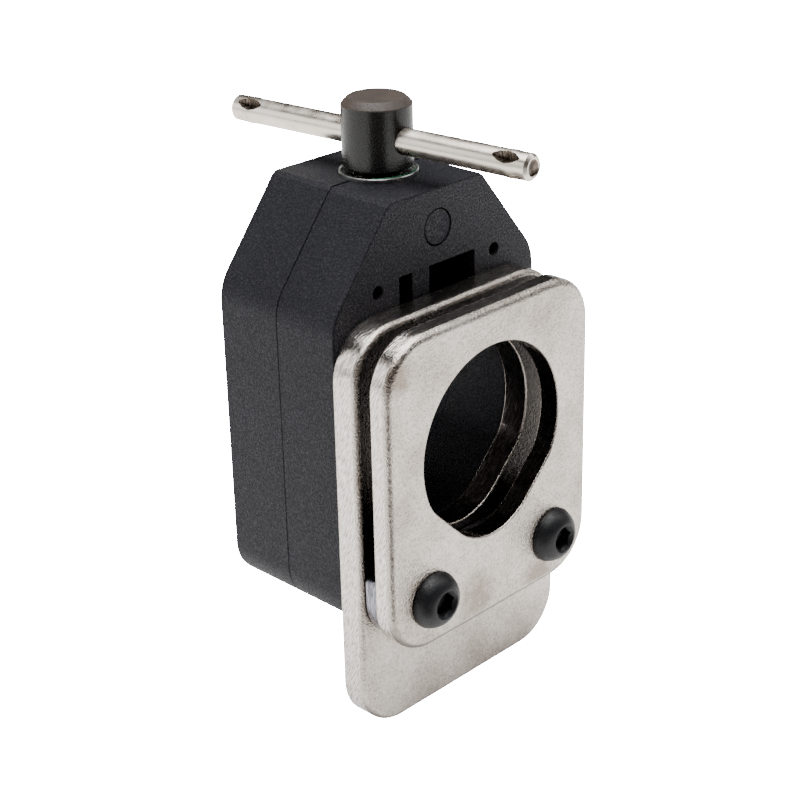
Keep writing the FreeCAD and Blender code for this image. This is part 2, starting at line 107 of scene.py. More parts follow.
def tube_hole(extra, slots=()):
    """The tube hole: round above, with eased flats and a round tip below.

    Each slot is (left, right, top), cut upwards from the round part, from the right.
    """
    big = hole_radius + extra
    tip = seat_radius + extra
    flat = seat_drop * math.sqrt(0.5) + tip
    turn = math.degrees(math.acos((flat - seat_ease) / (big - seat_ease))) - 45
    points = []
    start = turn
    for left, right, top in slots:
        side = math.degrees(math.acos(right / big))
        points += arc(0, 0, big, start, side, 18)
        points += [(right, top), (left, top)]
        start = math.degrees(math.acos(left / big))
    points += arc(0, 0, big, start, 180 - turn, 72 if not slots else 18)
    reach = (big - seat_ease) * math.cos(math.radians(turn))
    level = (big - seat_ease) * math.sin(math.radians(turn))
    points += arc(-reach, level, seat_ease, 180 - turn, 225, 8)
    points += arc(0, -seat_drop, tip, 225, 315, 40)
    points += arc(reach, level, seat_ease, 315, 360 + turn, 8)
    return points


def slab(bm, front, back, loops, sides=1):
    """Add a flat plate with rounded rims. Each loop is (points, front rim, back rim).

    Materials by number: 0 front, 1 rims, 2 outer sides, 3 walls of holes, 4 back.
    """
    caps = {"front": [], "back": []}
    for points, front_rim, back_rim in loops:
        count = len(points)
        area = sum(points[i - 1][0] * points[i][1] - points[i][0] * points[i - 1][1]
                   for i in range(count))
        normals = []
        for i in range(count):
            ahead = Vector(points[(i + 1) % count]) - Vector(points[i])
            behind = Vector(points[i]) - Vector(points[i - 1])
            across = ahead.normalized() + behind.normalized()
            across = Vector((across.y, -across.x)).normalized()
            bend = max(0.5, across.dot(Vector((behind.y, -behind.x)).normalized()))
            normals.append(across / bend)
        outer = points is loops[0][0]
        away = (1 if area > 0 else -1) * (1 if outer else -1)
        levels = []
        steps = 5
        wall = 2 if outer else 3
        for k in range(steps + 1):
            turn = math.radians(90 * k / steps)
            levels.append((-front_rim * (1 - math.sin(turn)),
                           front + front_rim * (1 - math.cos(turn)), 1))
        for k in range(1, sides):
            levels.append((0, front + front_rim
                           + (back - front - front_rim - back_rim) * k / sides, wall))
        for k in range(steps + 1):
            turn = math.radians(90 * k / steps)
            levels.append((-back_rim * (1 - math.cos(turn)),
                           back - back_rim * (1 - math.sin(turn)),
                           wall if k == 0 else 1))
        rings = []
        for offset, depth, kind in levels:
            if rings and abs(depth - rings[-1][1]) < 1e-6:
                continue
            ring = []
            for (x, z), normal in zip(points, normals):
                shift = normal * (offset * away)
                ring.append(bm.verts.new((x + shift.x, depth, z + shift.y)))
            rings.append((ring, depth, kind))
        for (low, _, _), (high, _, kind) in zip(rings, rings[1:]):
            for i in range(count):
                face = bm.faces.new((low[i - 1], low[i], high[i], high[i - 1]))
                face.material_index = kind
        caps["front"].append(rings[0][0])
        caps["back"].append(rings[-1][0])
    for side, rings in caps.items():
        edges = []
        for ring in rings:
            for i in range(len(ring)):
                edges.append(bm.edges.get((ring[i - 1], ring[i])))
        made = bmesh.ops.triangle_fill(bm, edges=edges, use_beauty=True)
        for face in made["geom"]:
            if isinstance(face, bmesh.types.BMFace):
                face.material_index = 0 if side == "front" else 4
    return bm


def finish_mesh(name, bm, materials, body):
    """Scale a mesh to metres, smooth it, and let it ride on a body."""
    bmesh.ops.recalc_face_normals(bm, faces=bm.faces)
    bmesh.ops.scale(bm, vec=(0.001, 0.001, 0.001), verts=bm.verts)
    mesh = bpy.data.meshes.new(name)
    bm.to_mesh(mesh)
    bm.free()
    for material in materials:
        mesh.materials.append(material)
    for face in mesh.polygons:
        face.use_smooth = True
    mesh.set_sharp_from_angle(angle=math.radians(34))
    piece = bpy.data.objects.new(name, mesh)
    bpy.context.scene.collection.objects.link(piece)
    weighted = piece.modifiers.new("even_normals", "WEIGHTED_NORMAL")
    weighted.keep_sharp = True
    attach(piece, body)
    return piece


def linear(code):
    """Turn a six-figure colour into the linear values a shader takes."""
    parts = [int(code[i:i + 2], 16) / 255.0 for i in (0, 2, 4)]
    return tuple(p / 12.92 if p <= 0.04045 else ((p + 0.055) / 1.055) ** 2.4
                 for p in parts) + (1.0,)


def put(tree, kind, values=None, **settings):
    """Add one shader node, set its values and join the sockets it is given."""
    node = tree.nodes.new("ShaderNode" + kind)
    for key, value in settings.items():
        setattr(node, key, value)
    for key, value in (values or {}).items():
        if isinstance(value, bpy.types.NodeSocket):
            tree.links.new(value, node.inputs[key])
        else:
            node.inputs[key].default_value = value
    return node


def begin(name, values):
    """Start a material and return it with its tree and its main shader."""
    made = bpy.data.materials.new(name)
    made.use_nodes = True
    tree = made.node_tree
    shader = tree.nodes["Principled BSDF"]
    for key, value in values.items():
        shader.inputs[key].default_value = value
    return made, tree, shader


def ramp_stops(node, stops):
    """Fill a colour ramp from pairs of place and grey level or colour code."""
    ramp = node.color_ramp
    while len(ramp.elements) < len(stops):
        ramp.elements.new(0.5)
    for element, (place, tone) in zip(ramp.elements, stops):
        element.position = place
        if isinstance(tone, str):
            element.color = linear(tone)
        else:
            element.color = (tone, tone, tone, 1.0)


# Satin nickel over tumbled steel: pale, faintly warm, with a fine dimpled skin from
# tumbling, cloudy patches of gloss, dark pits and a few brownish handling stains. The
# dimples are about 0.2 mm on the real plate and are drawn at 0.4 mm so that they show.
# Faces that turn downwards can be darkened to a brown-grey, which is painted shade, and
# the part of a face inside the saw slot can be darkened to near black, which is painted
# shade too.
def nickel(name, stains, slot_shade_from=None, underside_shade=0.0):
    made, tree, shader = begin(name, {"Metallic": 1.0})
    place = put(tree, "TexCoord").outputs["Object"]
    cloud = put(tree, "TexNoise", {"Vector": place, "Scale": 75.0, "Detail": 6.0,
                                   "Roughness": 0.62})
    grain = put(tree, "TexNoise", {"Vector": place, "Scale": 2600.0, "Detail": 3.0,
                                   "Roughness": 0.6})
    tone = put(tree, "ValToRGB", {"Fac": cloud.outputs["Fac"]})
    ramp_stops(tone, [(0.34, "b6aca3"), (0.5, "cfc6bd"), (0.66, "e2dad2")])
    speck = put(tree, "ValToRGB", {"Fac": grain.outputs["Fac"]})
    ramp_stops(speck, [(0.30, "cfcbc8"), (0.44, "ebe9e7"), (0.58, "ffffff")])
    skin_tone = put(tree, "Mix", {"Factor": 1.0, "A": tone.outputs["Color"],
                                  "B": speck.outputs["Color"]},
                    data_type="RGBA", blend_type="MULTIPLY")
    blot = put(tree, "TexNoise", {"Vector": place, "Scale": 420.0, "Detail": 6.0,
                                  "Roughness": 0.75})
    mask = 0.0
    for spot, reach in stains:
        away = put(tree, "VectorMath", {0: place, 1: spot}, operation="DISTANCE")
        near = put(tree, "MapRange", {"Value": away.outputs["Value"], "From Min": 0.0,
                                      "From Max": reach, "To Min": 1.0, "To Max": 0.0})
        mask = put(tree, "Math", {0: near.outputs["Result"], 1: mask},
                   operation="MAXIMUM").outputs["Value"]
    patch = put(tree, "Math", {0: blot.outputs["Fac"], 1: mask}, operation="MULTIPLY")
    depth = put(tree, "MapRange", {"Value": patch.outputs["Value"], "From Min": 0.14,
                                   "From Max": 0.42, "To Min": 0.0, "To Max": 0.75})
    colour = put(tree, "Mix", {"Factor": depth.outputs["Result"],
                               "A": skin_tone.outputs["Result"],
                               "B": linear("84776a")}, data_type="RGBA")
    # Painted shade: faces that turn downwards are darkened towards a brown-grey.
    facing = put(tree, "SeparateXYZ", {"Vector": put(tree, "NewGeometry").outputs["Normal"]})
    under = put(tree, "MapRange", {"Value": facing.outputs["Z"], "From Min": -0.1,
                                   "From Max": -0.5, "To Min": 0.0, "To Max": underside_shade})
    colour = put(tree, "Mix", {"Factor": under.outputs["Result"],
                               "A": colour.outputs["Result"],
                               "B": linear("4d443d")}, data_type="RGBA")
    # Painted shade: above the given height the face is darkened to near black, where it lies
    # in the saw slot between the plates.
    if slot_shade_from is not None:
        height = put(tree, "SeparateXYZ", {"Vector": place}).outputs["Z"]
        inside = put(tree, "MapRange", {"Value": height, "From Min": slot_shade_from,
                                        "From Max": slot_shade_from + 0.0006,
                                        "To Min": 0.0, "To Max": 0.93})
        colour = put(tree, "Mix", {"Factor": inside.outputs["Result"],
                                   "A": colour.outputs["Result"],
                                   "B": linear("2b221c")}, data_type="RGBA")
    tree.links.new(colour.outputs["Result"], shader.inputs["Base Color"])
    gloss = put(tree, "MapRange", {"Value": cloud.outputs["Fac"], "From Min": 0.3,
                                   "From Max": 0.7, "To Min": 0.20, "To Max": 0.31})
    tree.links.new(gloss.outputs["Result"], shader.inputs["Roughness"])
    skin = put(tree, "Bump", {"Height": grain.outputs["Fac"], "Strength": 0.7,
                              "Distance": 0.00024})
    tree.links.new(skin.outputs["Normal"], shader.inputs["Normal"])
    return made


corner_stain = ((-0.0235, -0.0129, 0.019), 0.0065)
screw_stains = [((-0.005, -0.0129, -0.030), 0.009), ((0.012, -0.0129, -0.032), 0.007)]
plate_face = nickel("satin nickel plate on tumbled steel, handled face",
                    [corner_stain] + screw_stains)
# The rolled edges take the painted shade on their downward-facing parts.
plate_rim = nickel("satin nickel plate on tumbled steel, rolled edge", [corner_stain],
                   underside_shade=0.8)


# The punched sides of the plates are satin nickel too, over the short slanting shear
# marks of the press tool. The walls of the holes are the same and scored, with their
# colour darkened as painted shade in the hole; the faces inside the saw slot are darkened
# further, to near black, as painted shade between the plates. The marks are about
# 0.3 mm apart and 2 mm long.
def sheared_edge(name, tones, slope, rough, relief):
    made, tree, shader = begin(name, {"Metallic": 1.0, "Roughness": rough})
    place = put(tree, "TexCoord").outputs["Object"]
    lean = put(tree, "Mapping", {"Vector": place, "Rotation": (slope, 0.0, 0.0)})
    marks = put(tree, "Mapping", {"Vector": lean.outputs["Vector"],
                                  "Scale": (500.0, 3600.0, 620.0)})
    hatch = put(tree, "TexNoise", {"Vector": marks.outputs["Vector"], "Scale": 1.0,
                                   "Detail": 3.0, "Roughness": 0.55})
    tone = put(tree, "ValToRGB", {"Fac": hatch.outputs["Fac"]})
    ramp_stops(tone, list(zip((0.34, 0.5, 0.66), tones)))
    tree.links.new(tone.outputs["Color"], shader.inputs["Base Color"])
    skin = put(tree, "Bump", {"Height": hatch.outputs["Fac"], "Strength": 0.5,
                              "Distance": relief})
    tree.links.new(skin.outputs["Normal"], shader.inputs["Normal"])
    return made


plate_side = sheared_edge("satin nickel plate over punched edge",
                          ("a59a91", "d5cdc5", "f2ede7"), -0.42, 0.2, 0.00016)
# Bore walls: scored, with the colour darkened as painted shade inside the holes.
bore_wall_shade = sheared_edge("scored nickel plate in the hole, darkened as painted shade",
                          ("39322f", "544c49", "8c8480"), -0.1, 0.17, 0.00002)
# Faces inside the saw slot: near black, as painted shade between the plates.
slot_face_shade = sheared_edge("nickel plate inside the saw slot, darkened as painted shade",
                          ("1e1713", "2a211b", "43382f"), 0.0, 0.55, 0.00006)

hole = (tube_hole(0.0), 0.3, 0.3)
front_hole = (tube_hole(0.0), 0.35, 0.3)
screw_holes = [(circle(x, guide_screw_z, guide_screw_hole), 0.1, 0.1)
               for x in (-guide_screw_x, guide_screw_x)]
outline = rounded([(-plate_half, front_plate_bottom), (plate_half, front_plate_bottom),
                   (plate_half, plate_top), (-plate_half, plate_top)], [plate_corner] * 4)
bm = bmesh.new()
slab(bm, front_plate_face, slot_front, [(outline, 1.35, 0.4), front_hole] + screw_holes, 3)
front_plate = finish_mesh("front_plate_steel", bm, [plate_face, plate_rim, plate_side,
                                                    bore_wall_shade, slot_face_shade], "housing")
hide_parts("front_guide_plate")

# ------------------------------------------------------------ back guide plate
# The inner saw plate is 5.25 mm steel, punched and plated in the same way but longer, so
# that its lower end stands clear as a tab for a vise. It is bolted on from behind.
tab_bottom = -52.5
# The back plate's face is darkened to near black inside the saw slot, above the spacer, as
# painted shade between the plates.
tab_face = nickel("satin nickel plate on tumbled steel, oily inside the slot", [],
                  slot_shade_from=-0.0212)
outline = rounded([(-plate_half, tab_bottom), (plate_half, tab_bottom),
                   (plate_half, plate_top), (-plate_half, plate_top)], [plate_corner] * 4)
bm = bmesh.new()
slab(bm, slot_back, 0.0, [(outline, 1.0, 0.3), hole] + screw_holes, 3)
back_plate = finish_mesh("back_plate_steel", bm, [tab_face, plate_rim, plate_side,
                                                  bore_wall_shade, slot_face_shade], "housing")
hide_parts("back_guide_plate")

# ------------------------------------------------------------ spacer
# A strip of the same steel between the plates, set in from their sides, that sets
# the width of the saw slot and stops the blade. The same two screws hold it.
spacer_half = plate_half - 0.85
spacer_bottom = front_plate_bottom + 0.85
spacer_top = -20.4
outline = rounded([(-spacer_half, spacer_bottom), (spacer_half, spacer_bottom),
                   (spacer_half, spacer_top), (-spacer_half, spacer_top)],
                  [8.7, 8.7, 0.7, 0.7])
bm = bmesh.new()
slab(bm, slot_front, slot_back, [(outline, 0.3, 0.3)], 2)
spacer_side = sheared_edge("bright nickel plate over sawn strip",
                           ("5f5f69", "83838c", "a6a6ae"), 0.0, 0.25, 0.00008)
# The spacer's rims take the same near-black colour, as painted shade along its edges between
# the plates.
spacer = finish_mesh("spacer_steel", bm, [plate_face, slot_face_shade, spacer_side, bore_wall_shade,
                                          slot_face_shade], "housing")
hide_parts("blade_spacer")

# ------------------------------------------------------------ moulded housing
# Two halves moulded in black glass-filled nylon and screwed together from behind. The
# front wall is 2.2 mm thick, and a window above the hole shows the screw and the jaw.
body_half = 25.45
body_bottom = -33.3
body_shoulder = 25.8
body_top = 43.33
top_half = 12.05
front_wall = 2.2
rear_wall = 24.65
body_split = 13.93
body_depth = 28.65
front_sink = 0.22
split_edge = 0.22
room_top = 31.7
front_room_half = 10.3
rear_room_half = 12.2
hole_relief = 0.2
window_half = 9.5
window_top = 29.5
window_web = (-5.95, -1.65)
web_sink = 0.4
mark_level = 36.0
mark_sink = 0.16
case_screw_x = 14.65
case_screw_z = 28.15
plate_screw_x = 20.5
plate_screw_z = 13.0
pilot_radius = 1.2
case_seat_radius = 2.95
plate_seat_radius = 3.75
collar_hole = 7.2


# The mould was spark eroded, which leaves an even pebbled skin, coarser in front than
# on the sides. The pebbles are about 0.2 mm on the real part and are drawn at 0.3 mm.
# The tiny points of light on the pebbles are painted: their crests are tinted pale grey
# in the colour, as painted glints.
def nylon(name, scale, depth, painted_glint, sheen):
    made, tree, shader = begin(name, {"IOR": 1.53, "Specular IOR Level": sheen,
                                     "Specular Tint": linear("f0f1ff")})
    place = put(tree, "TexCoord").outputs["Object"]
    pebble = put(tree, "TexNoise", {"Vector": place, "Scale": scale, "Detail": 2.0,
                                    "Roughness": 0.6})
    cloud = put(tree, "TexNoise", {"Vector": place, "Scale": 70.0, "Detail": 4.0})
    tone = put(tree, "ValToRGB", {"Fac": cloud.outputs["Fac"]})
    ramp_stops(tone, [(0.3, "0b0b0e"), (0.7, "121216")])
    # Painted glints: the pebble crests are tinted pale grey.
    glint_fleck = put(tree, "ValToRGB", {"Fac": pebble.outputs["Fac"]})
    ramp_stops(glint_fleck, [(0.5, 0.0), (0.68, painted_glint)])
    colour = put(tree, "Mix", {"Factor": glint_fleck.outputs["Color"],
                               "A": tone.outputs["Color"], "B": linear("5a5a62")},
                 data_type="RGBA")
    tree.links.new(colour.outputs["Result"], shader.inputs["Base Color"])
    gloss = put(tree, "MapRange", {"Value": pebble.outputs["Fac"], "From Min": 0.35,
                                   "From Max": 0.65, "To Min": 0.62, "To Max": 0.42})
    tree.links.new(gloss.outputs["Result"], shader.inputs["Roughness"])
    skin = put(tree, "Bump", {"Height": pebble.outputs["Fac"], "Strength": 0.8,
                              "Distance": depth})
    tree.links.new(skin.outputs["Normal"], shader.inputs["Normal"])
    return made


# The front copy gets brighter painted glints than the side copy.
housing_front = nylon("black glass-filled nylon, spark-eroded front", 3000.0, 0.00048,
                      0.36, 0.3)
housing_side = nylon("black glass-filled nylon, spark-eroded side", 3600.0, 0.00026, 0.19,
                     0.2)
housing_set = [housing_front] + [housing_side] * 4


def shouldered(sink):
    """The housing outline; the front half sits a hair lower than the rear half."""
    shoulder = body_shoulder - sink
    bevel = body_top - 0.63 - sink
    top = body_top - sink
    return rounded([(-body_half, body_bottom), (body_half, body_bottom),
                    (body_half, shoulder), (top_half, bevel), (top_half - 0.95, top),
                    (0.95 - top_half, top), (-top_half, bevel), (-body_half, shoulder)],
                   [8, 8, 9, 0.25, 0.25, 0.25, 0.25, 9])


def turned(bm, profile, segments=64, wave=None):
    """Turn an outline of (radius, height) pairs about the Z axis."""
    rings = []
    for radius, height in profile:
        if radius < 1e-6:
            rings.append([bm.verts.new((0, 0, height))])
            continue
        ring = []
        for i in range(segments):
            angle = 2 * math.pi * i / segments
            r = radius if wave is None else wave(radius, height, angle)
            ring.append(bm.verts.new((r * math.cos(angle), r * math.sin(angle), height)))
        rings.append(ring)
    for low, high in zip(rings, rings[1:]):
        for i in range(segments):
            j = (i + 1) % segments
            corners = [low[i % len(low)], low[j % len(low)],
                       high[j % len(high)], high[i % len(high)]]
            unique = list(dict.fromkeys(corners))
            if len(unique) > 2:
                bm.faces.new(unique)
    return bm


def loose(name, bm):
    """A plain object in millimetres, for cutting."""
    bmesh.ops.recalc_face_normals(bm, faces=bm.faces)
    mesh = bpy.data.meshes.new(name)
    bm.to_mesh(mesh)
    bm.free()
    thing = bpy.data.objects.new(name, mesh)
    bpy.context.scene.collection.objects.link(thing)
    return thing


def cut_with(piece, cutter):
    """Take one mesh away from another and drop the cutter."""
    step = piece.modifiers.new("cut", "BOOLEAN")
    step.operation = "DIFFERENCE"
    step.solver = "EXACT"
    step.object = cutter
    graph = bpy.context.evaluated_depsgraph_get()
    result = bpy.data.meshes.new_from_object(piece.evaluated_get(graph))
    piece.modifiers.remove(step)
    piece.data = result
    bpy.data.objects.remove(cutter)


def nut_hole(piece):
    """Bore the upright hole for the nut's collar."""
    drill = bmesh.new()
    turned(drill, [(0, 31.0), (collar_hole, 31.0), (collar_hole, 46.0), (0, 46.0)], 96)
    bmesh.ops.translate(drill, verts=drill.verts, vec=(0, body_split, 0))
    cut_with(piece, loose("drill", drill))


def stack(layers):
    """Make each layer, bore the ones that need it, and put them in one mesh.

    The layers stay separate shells, so hidden faces are left where they meet.
    """
    whole = bmesh.new()
    for front, back, loops, bored in layers:
        layer = slab(bmesh.new(), front, back, loops)
        piece = loose("layer", layer)
        if bored:
            nut_hole(piece)
        whole.from_mesh(piece.data)
        bpy.data.objects.remove(piece)
    return whole


def pair_of(half, level, radius, front_rim, back_rim, count=48):
    """Two round holes, left and right, as loops for a slab."""
    return [(circle(x, level, radius, count), front_rim, back_rim) for x in (-half, half)]


low_outline = shouldered(front_sink)
mark_groove = circle(0.2, mark_level, 3.4)
mark_disc = circle(0.3, mark_level, 3.2)
window = tube_hole(hole_relief, [(-window_half, window_half, window_top)])
panes = tube_hole(hole_relief, [(window_web[1], window_half, window_top),
                                (-window_half, window_web[0], window_top)])
room = tube_hole(hole_relief, [(-front_room_half, front_room_half, room_top)])
pilots = pair_of(case_screw_x, case_screw_z, pilot_radius, 0.12, 0.0, 24)
deep_pilots = pair_of(case_screw_x, case_screw_z, pilot_radius, 0.0, 0.0, 24)
front_housing = finish_mesh("front_housing_moulding", stack([
    (0.0, web_sink, [(low_outline, 0.35, 0.0), (window, 0.1, 0.0),
                     (mark_groove, 0.06, 0.0)] + pilots, False),
    (web_sink, front_wall, [(low_outline, 0.0, 0.0), (panes, 0.1, 0.0),
                            (mark_groove, 0.0, 0.0)] + deep_pilots, False),
    (front_wall, body_split, [(low_outline, 0.0, split_edge), (room, 0.0, 0.1)]
     + deep_pilots, True),
    (mark_sink, front_wall, [(mark_disc, 0.15, 0.0)], False),
]), housing_set, "housing")
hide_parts("front_housing")

full_outline = shouldered(0.0)
room = tube_hole(hole_relief, [(-rear_room_half, rear_room_half, room_top)])
bore = tube_hole(hole_relief)
case_bores = pair_of(case_screw_x, case_screw_z, 1.55, 0.0, 0.0, 24)
case_seats = pair_of(case_screw_x, case_screw_z, case_seat_radius, 0.0, 0.15)
plate_bores = []
flush_seats = []
plate_seats = []
for level in (-plate_screw_z, plate_screw_z):
    plate_bores += pair_of(plate_screw_x, level, 2.15, 0.0, 0.0, 24)
    flush_seats += pair_of(plate_screw_x, level, plate_seat_radius, 0.0, 0.0)
    plate_seats += pair_of(plate_screw_x, level, plate_seat_radius, 0.0, 0.15)
case_seat_floor = body_depth - 2.6
rear_housing = finish_mesh("rear_housing_moulding", stack([
    (body_split, rear_wall, [(full_outline, split_edge, 0.0), (room, 0.1, 0.0)]
     + case_bores + plate_bores, True),
    (rear_wall, case_seat_floor, [(full_outline, 0.0, 0.0), (bore, 0.0, 0.0)]
     + case_bores + flush_seats, False),
    (case_seat_floor, body_depth, [(full_outline, 0.0, 0.6), (bore, 0.0, 0.3)]
     + case_seats + plate_seats, False),
]), housing_set, "housing")
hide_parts("rear_housing")

# ------------------------------------------------------------ guide screws
# Two M6 button-head screws, forged from alloy steel with a domed head and a hexagon
# socket, then blacked. They pass through the front plate and spacer into the back plate.
button_radius = 5.2
button_height = 3.3
key_radius = 4.0 / math.sqrt(3)
shank_length = 12.7


# Black oxide is nearly black, with a soft sheen, and faintly brown where it has been
# handled. Its grit is about 0.1 mm and is drawn at 0.3 mm.
def blacked(name, base, warm, rough, grit):
    made, tree, shader = begin(name, {"IOR": 1.42})
    place = put(tree, "TexCoord").outputs["Object"]
    cloud = put(tree, "TexNoise", {"Vector": place, "Scale": 260.0, "Detail": 5.0})
    tone = put(tree, "ValToRGB", {"Fac": cloud.outputs["Fac"]})
    ramp_stops(tone, [(0.35, base), (0.7, warm)])
    tree.links.new(tone.outputs["Color"], shader.inputs["Base Color"])
    specks = put(tree, "TexNoise", {"Vector": place, "Scale": 3400.0, "Detail": 2.0})
    gloss = put(tree, "MapRange", {"Value": specks.outputs["Fac"], "From Min": 0.35,
                                   "From Max": 0.65, "To Min": rough + 0.1,
                                   "To Max": rough - 0.1})
    tree.links.new(gloss.outputs["Result"], shader.inputs["Roughness"])
    skin = put(tree, "Bump", {"Height": specks.outputs["Fac"], "Strength": 0.5,
                              "Distance": grit})
    tree.links.new(skin.outputs["Normal"], shader.inputs["Normal"])
    return made


blacked_button = blacked("black oxide on forged alloy steel", "0f0f12", "17171a", 0.46,
                         0.00006)
for name, x, twist in (("left", -guide_screw_x, 14), ("right", guide_screw_x, 10)):
    bm = bmesh.new()
    turned(bm, [(0, button_height), (2.75, 3.3), (3.1, 3.2), (3.7, 2.85), (4.3, 2.3),
                (4.75, 1.65), (5.05, 0.95), (button_radius, 0.6), (button_radius, 0.25),
                (5.0, 0.0), (3.0, 0.0), (3.0, 0.5 - shank_length), (2.5, -shank_length),
                (0, -shank_length)], 72)
    head = loose("head", bm)
    mouth = bmesh.new()
    turned(mouth, [(0, 2.6), (2.0, 2.6), (2.75, 3.4), (0, 3.4)], 72)
    cut_with(head, loose("mouth", mouth))
    socket = bmesh.new()
    turned(socket, [(0, 1.0), (key_radius, 1.0), (key_radius, 5.0), (0, 5.0)], 6)
    bmesh.ops.rotate(socket, verts=socket.verts,
                     matrix=Matrix.Rotation(math.radians(twist), 3, "Z"))
    cut_with(head, loose("socket", socket))
    bm = bmesh.new()
    bm.from_mesh(head.data)
    bpy.data.objects.remove(head)
    bmesh.ops.rotate(bm, verts=bm.verts, matrix=Matrix.Rotation(math.radians(90), 3, "X"))
    bmesh.ops.translate(bm, verts=bm.verts, vec=(x, front_plate_face, guide_screw_z))
    piece = finish_mesh("guide_screw_" + name + "_button", bm, [blacked_button], "housing")
    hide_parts("guide_screw_" + name)

# ------------------------------------------------------------ clamp screw
# Turned from alloy bar and blacked: a plain round head with a cross hole, a rolled
# right-hand thread of 24 to the inch, and a grooved tip that stays in the jaw.
pitch = 25.4 / 24
shank_radius = 4.7
thread_start = 19.8
thread_depth = 0.58
thread_row = 0.1058
head_radius = 6.3
head_top = 56.83
head_bevel = 55.6
cross_hole = 2.45
cross_level = 49.7
bar_turn = math.radians(5.1)
blacked_screw = blacked("black oxide on turned alloy steel", "0c0a0a", "12100f", 0.22,
                        0.00009)
blacked_end = blacked("worn black oxide on faced end", "352e2a", "463d36", 0.5, 0.00009)


def thread(radius, height, angle):
    """Sink the shank into a thread that fades in at its lower end."""
    if abs(radius - shank_radius) > 0.01:
        return radius
    turn = (height / pitch - angle / (2 * math.pi)) % 1.0
    ridge = 1 - abs(2 * turn - 1)
    fade = min(1.0, max(0.0, (height - thread_start) / 0.6))
    return radius - thread_depth * (1 - min(1.0, max(0.0, ridge * 1.35 - 0.15))) * fade


profile = [(0, 9.6), (2.6, 9.6), (3.1, 10.1), (3.1, 12.4), (1.9, 12.4), (1.9, 15.0),
           (3.1, 15.0), (3.1, 19.3), (4.2, 19.3)]
profile += [(shank_radius, thread_start + i * thread_row) for i in range(234)]
profile += [(4.6, 44.7), (5.95, 44.6), (6.15, 44.68), (head_radius, 44.95),
            (head_radius, 55.5), (6.2, 55.72), (5.2, 56.73), (5.0, head_top), (0, head_top)]
bm = bmesh.new()
turned(bm, profile, 64, wave=thread)
whole = loose("screw", bm)
drill = bmesh.new()
turned(drill, [(0, -9.0), (cross_hole, -9.0), (cross_hole, 9.0), (0, 9.0)], 48)
bmesh.ops.rotate(drill, verts=drill.verts, matrix=Matrix.Rotation(math.radians(90), 3, "X"))
bmesh.ops.translate(drill, verts=drill.verts, vec=(0, 0, cross_level))
cut_with(whole, loose("drill", drill))
bm = bmesh.new()
bm.from_mesh(whole.data)
bpy.data.objects.remove(whole)
bmesh.ops.rotate(bm, verts=bm.verts, matrix=Matrix.Rotation(bar_turn, 3, "Z"))
bmesh.ops.translate(bm, verts=bm.verts, vec=(0, body_split, 0))
for face in bm.faces:
    if face.calc_center_median().z > head_bevel:
        face.material_index = 1
clamp_screw = finish_mesh("clamp_screw_turned", bm, [blacked_screw, blacked_end], "screw")
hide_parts("clamp_screw")

# ------------------------------------------------------------ sliding bar
# Three-sixteenths bar, bevelled at the ends and plated with satin nickel. A chisel nick
# near each end spreads the bar so that it can't leave the cross hole.
bar_half = 33.2
bar_radius = 2.38
spread_from_end = 4.0
nick_from_end = 4.5


# Drawn bar keeps fine lines along its length under the plate, and tarnishes in warm
# clouds. The lines are drawn 0.4 mm apart, which is coarser than the real ones.
def bar_metal():
    made, tree, shader = begin("satin nickel plate on drawn bar",
                               {"Metallic": 1.0, "Roughness": 0.3})
    place = put(tree, "TexCoord").outputs["Object"]
    cloud = put(tree, "TexNoise", {"Vector": place, "Scale": 180.0, "Detail": 5.0,
                                   "Roughness": 0.65})
    tone = put(tree, "ValToRGB", {"Fac": cloud.outputs["Fac"]})
    ramp_stops(tone, [(0.28, "b09f8b"), (0.42, "e3d8c9"), (0.7, "f6efe5")])
    tree.links.new(tone.outputs["Color"], shader.inputs["Base Color"])
    gloss = put(tree, "MapRange", {"Value": cloud.outputs["Fac"], "From Min": 0.3,
                                   "From Max": 0.7, "To Min": 0.22, "To Max": 0.38})
    tree.links.new(gloss.outputs["Result"], shader.inputs["Roughness"])
    drawn = put(tree, "Mapping", {"Vector": place, "Scale": (2600.0, 120.0, 2600.0)})
    lines = put(tree, "TexNoise", {"Vector": drawn.outputs["Vector"], "Scale": 1.0,
                                   "Detail": 2.0})
    skin = put(tree, "Bump", {"Height": lines.outputs["Fac"], "Strength": 0.25,
                              "Distance": 0.00004})
    tree.links.new(skin.outputs["Normal"], shader.inputs["Normal"])
    return made


def spread(radius, height, angle):
    """Swell the bar a little on both sides of each nick."""
    near = max(0.0, 1 - abs(abs(height) - (bar_half - spread_from_end)) / 1.9)
    swell = 0.13 * near * near * (3 - 2 * near)
    return radius + swell * max(0.0, abs(math.cos(angle))) ** 6


nickel_bar = bar_metal()
# The end faces are dark brown; the faces inside the chisel nicks take the same colour, which
# there is painted shade.
bar_end_and_nick_shade = sheared_edge("thin nickel plate over sheared bar end",
                       ("342d27", "574d44", "897e73"), 0.0, 0.35, 0.0001)
profile = [(0, -bar_half + 0.42), (0.9, -bar_half + 0.34), (1.4, -bar_half + 0.16),
           (1.6, -bar_half), (1.85, -bar_half), (bar_radius, -bar_half + 0.55)]
profile += [(bar_radius, -bar_half + 0.55 + i * 0.3) for i in range(1, 30)]
profile += [(radius, -height) for radius, height in reversed(profile)]
bm = bmesh.new()
turned(bm, profile, 64, wave=spread)
rod = loose("rod", bm)
for end in (-1, 1):
    nick = bmesh.new()
    turned(nick, [(0, -3.6), (1.4, -2.7), (2.3, -1.5), (2.75, 0), (2.3, 1.5), (1.4, 2.7),
                  (0, 3.6)], 4)
    bmesh.ops.translate(nick, verts=nick.verts,
                        vec=(0, 3.6, end * (bar_half - nick_from_end)))
    cut_with(rod, loose("nick", nick))
bm = bmesh.new()
bm.from_mesh(rod.data)
bpy.data.objects.remove(rod)
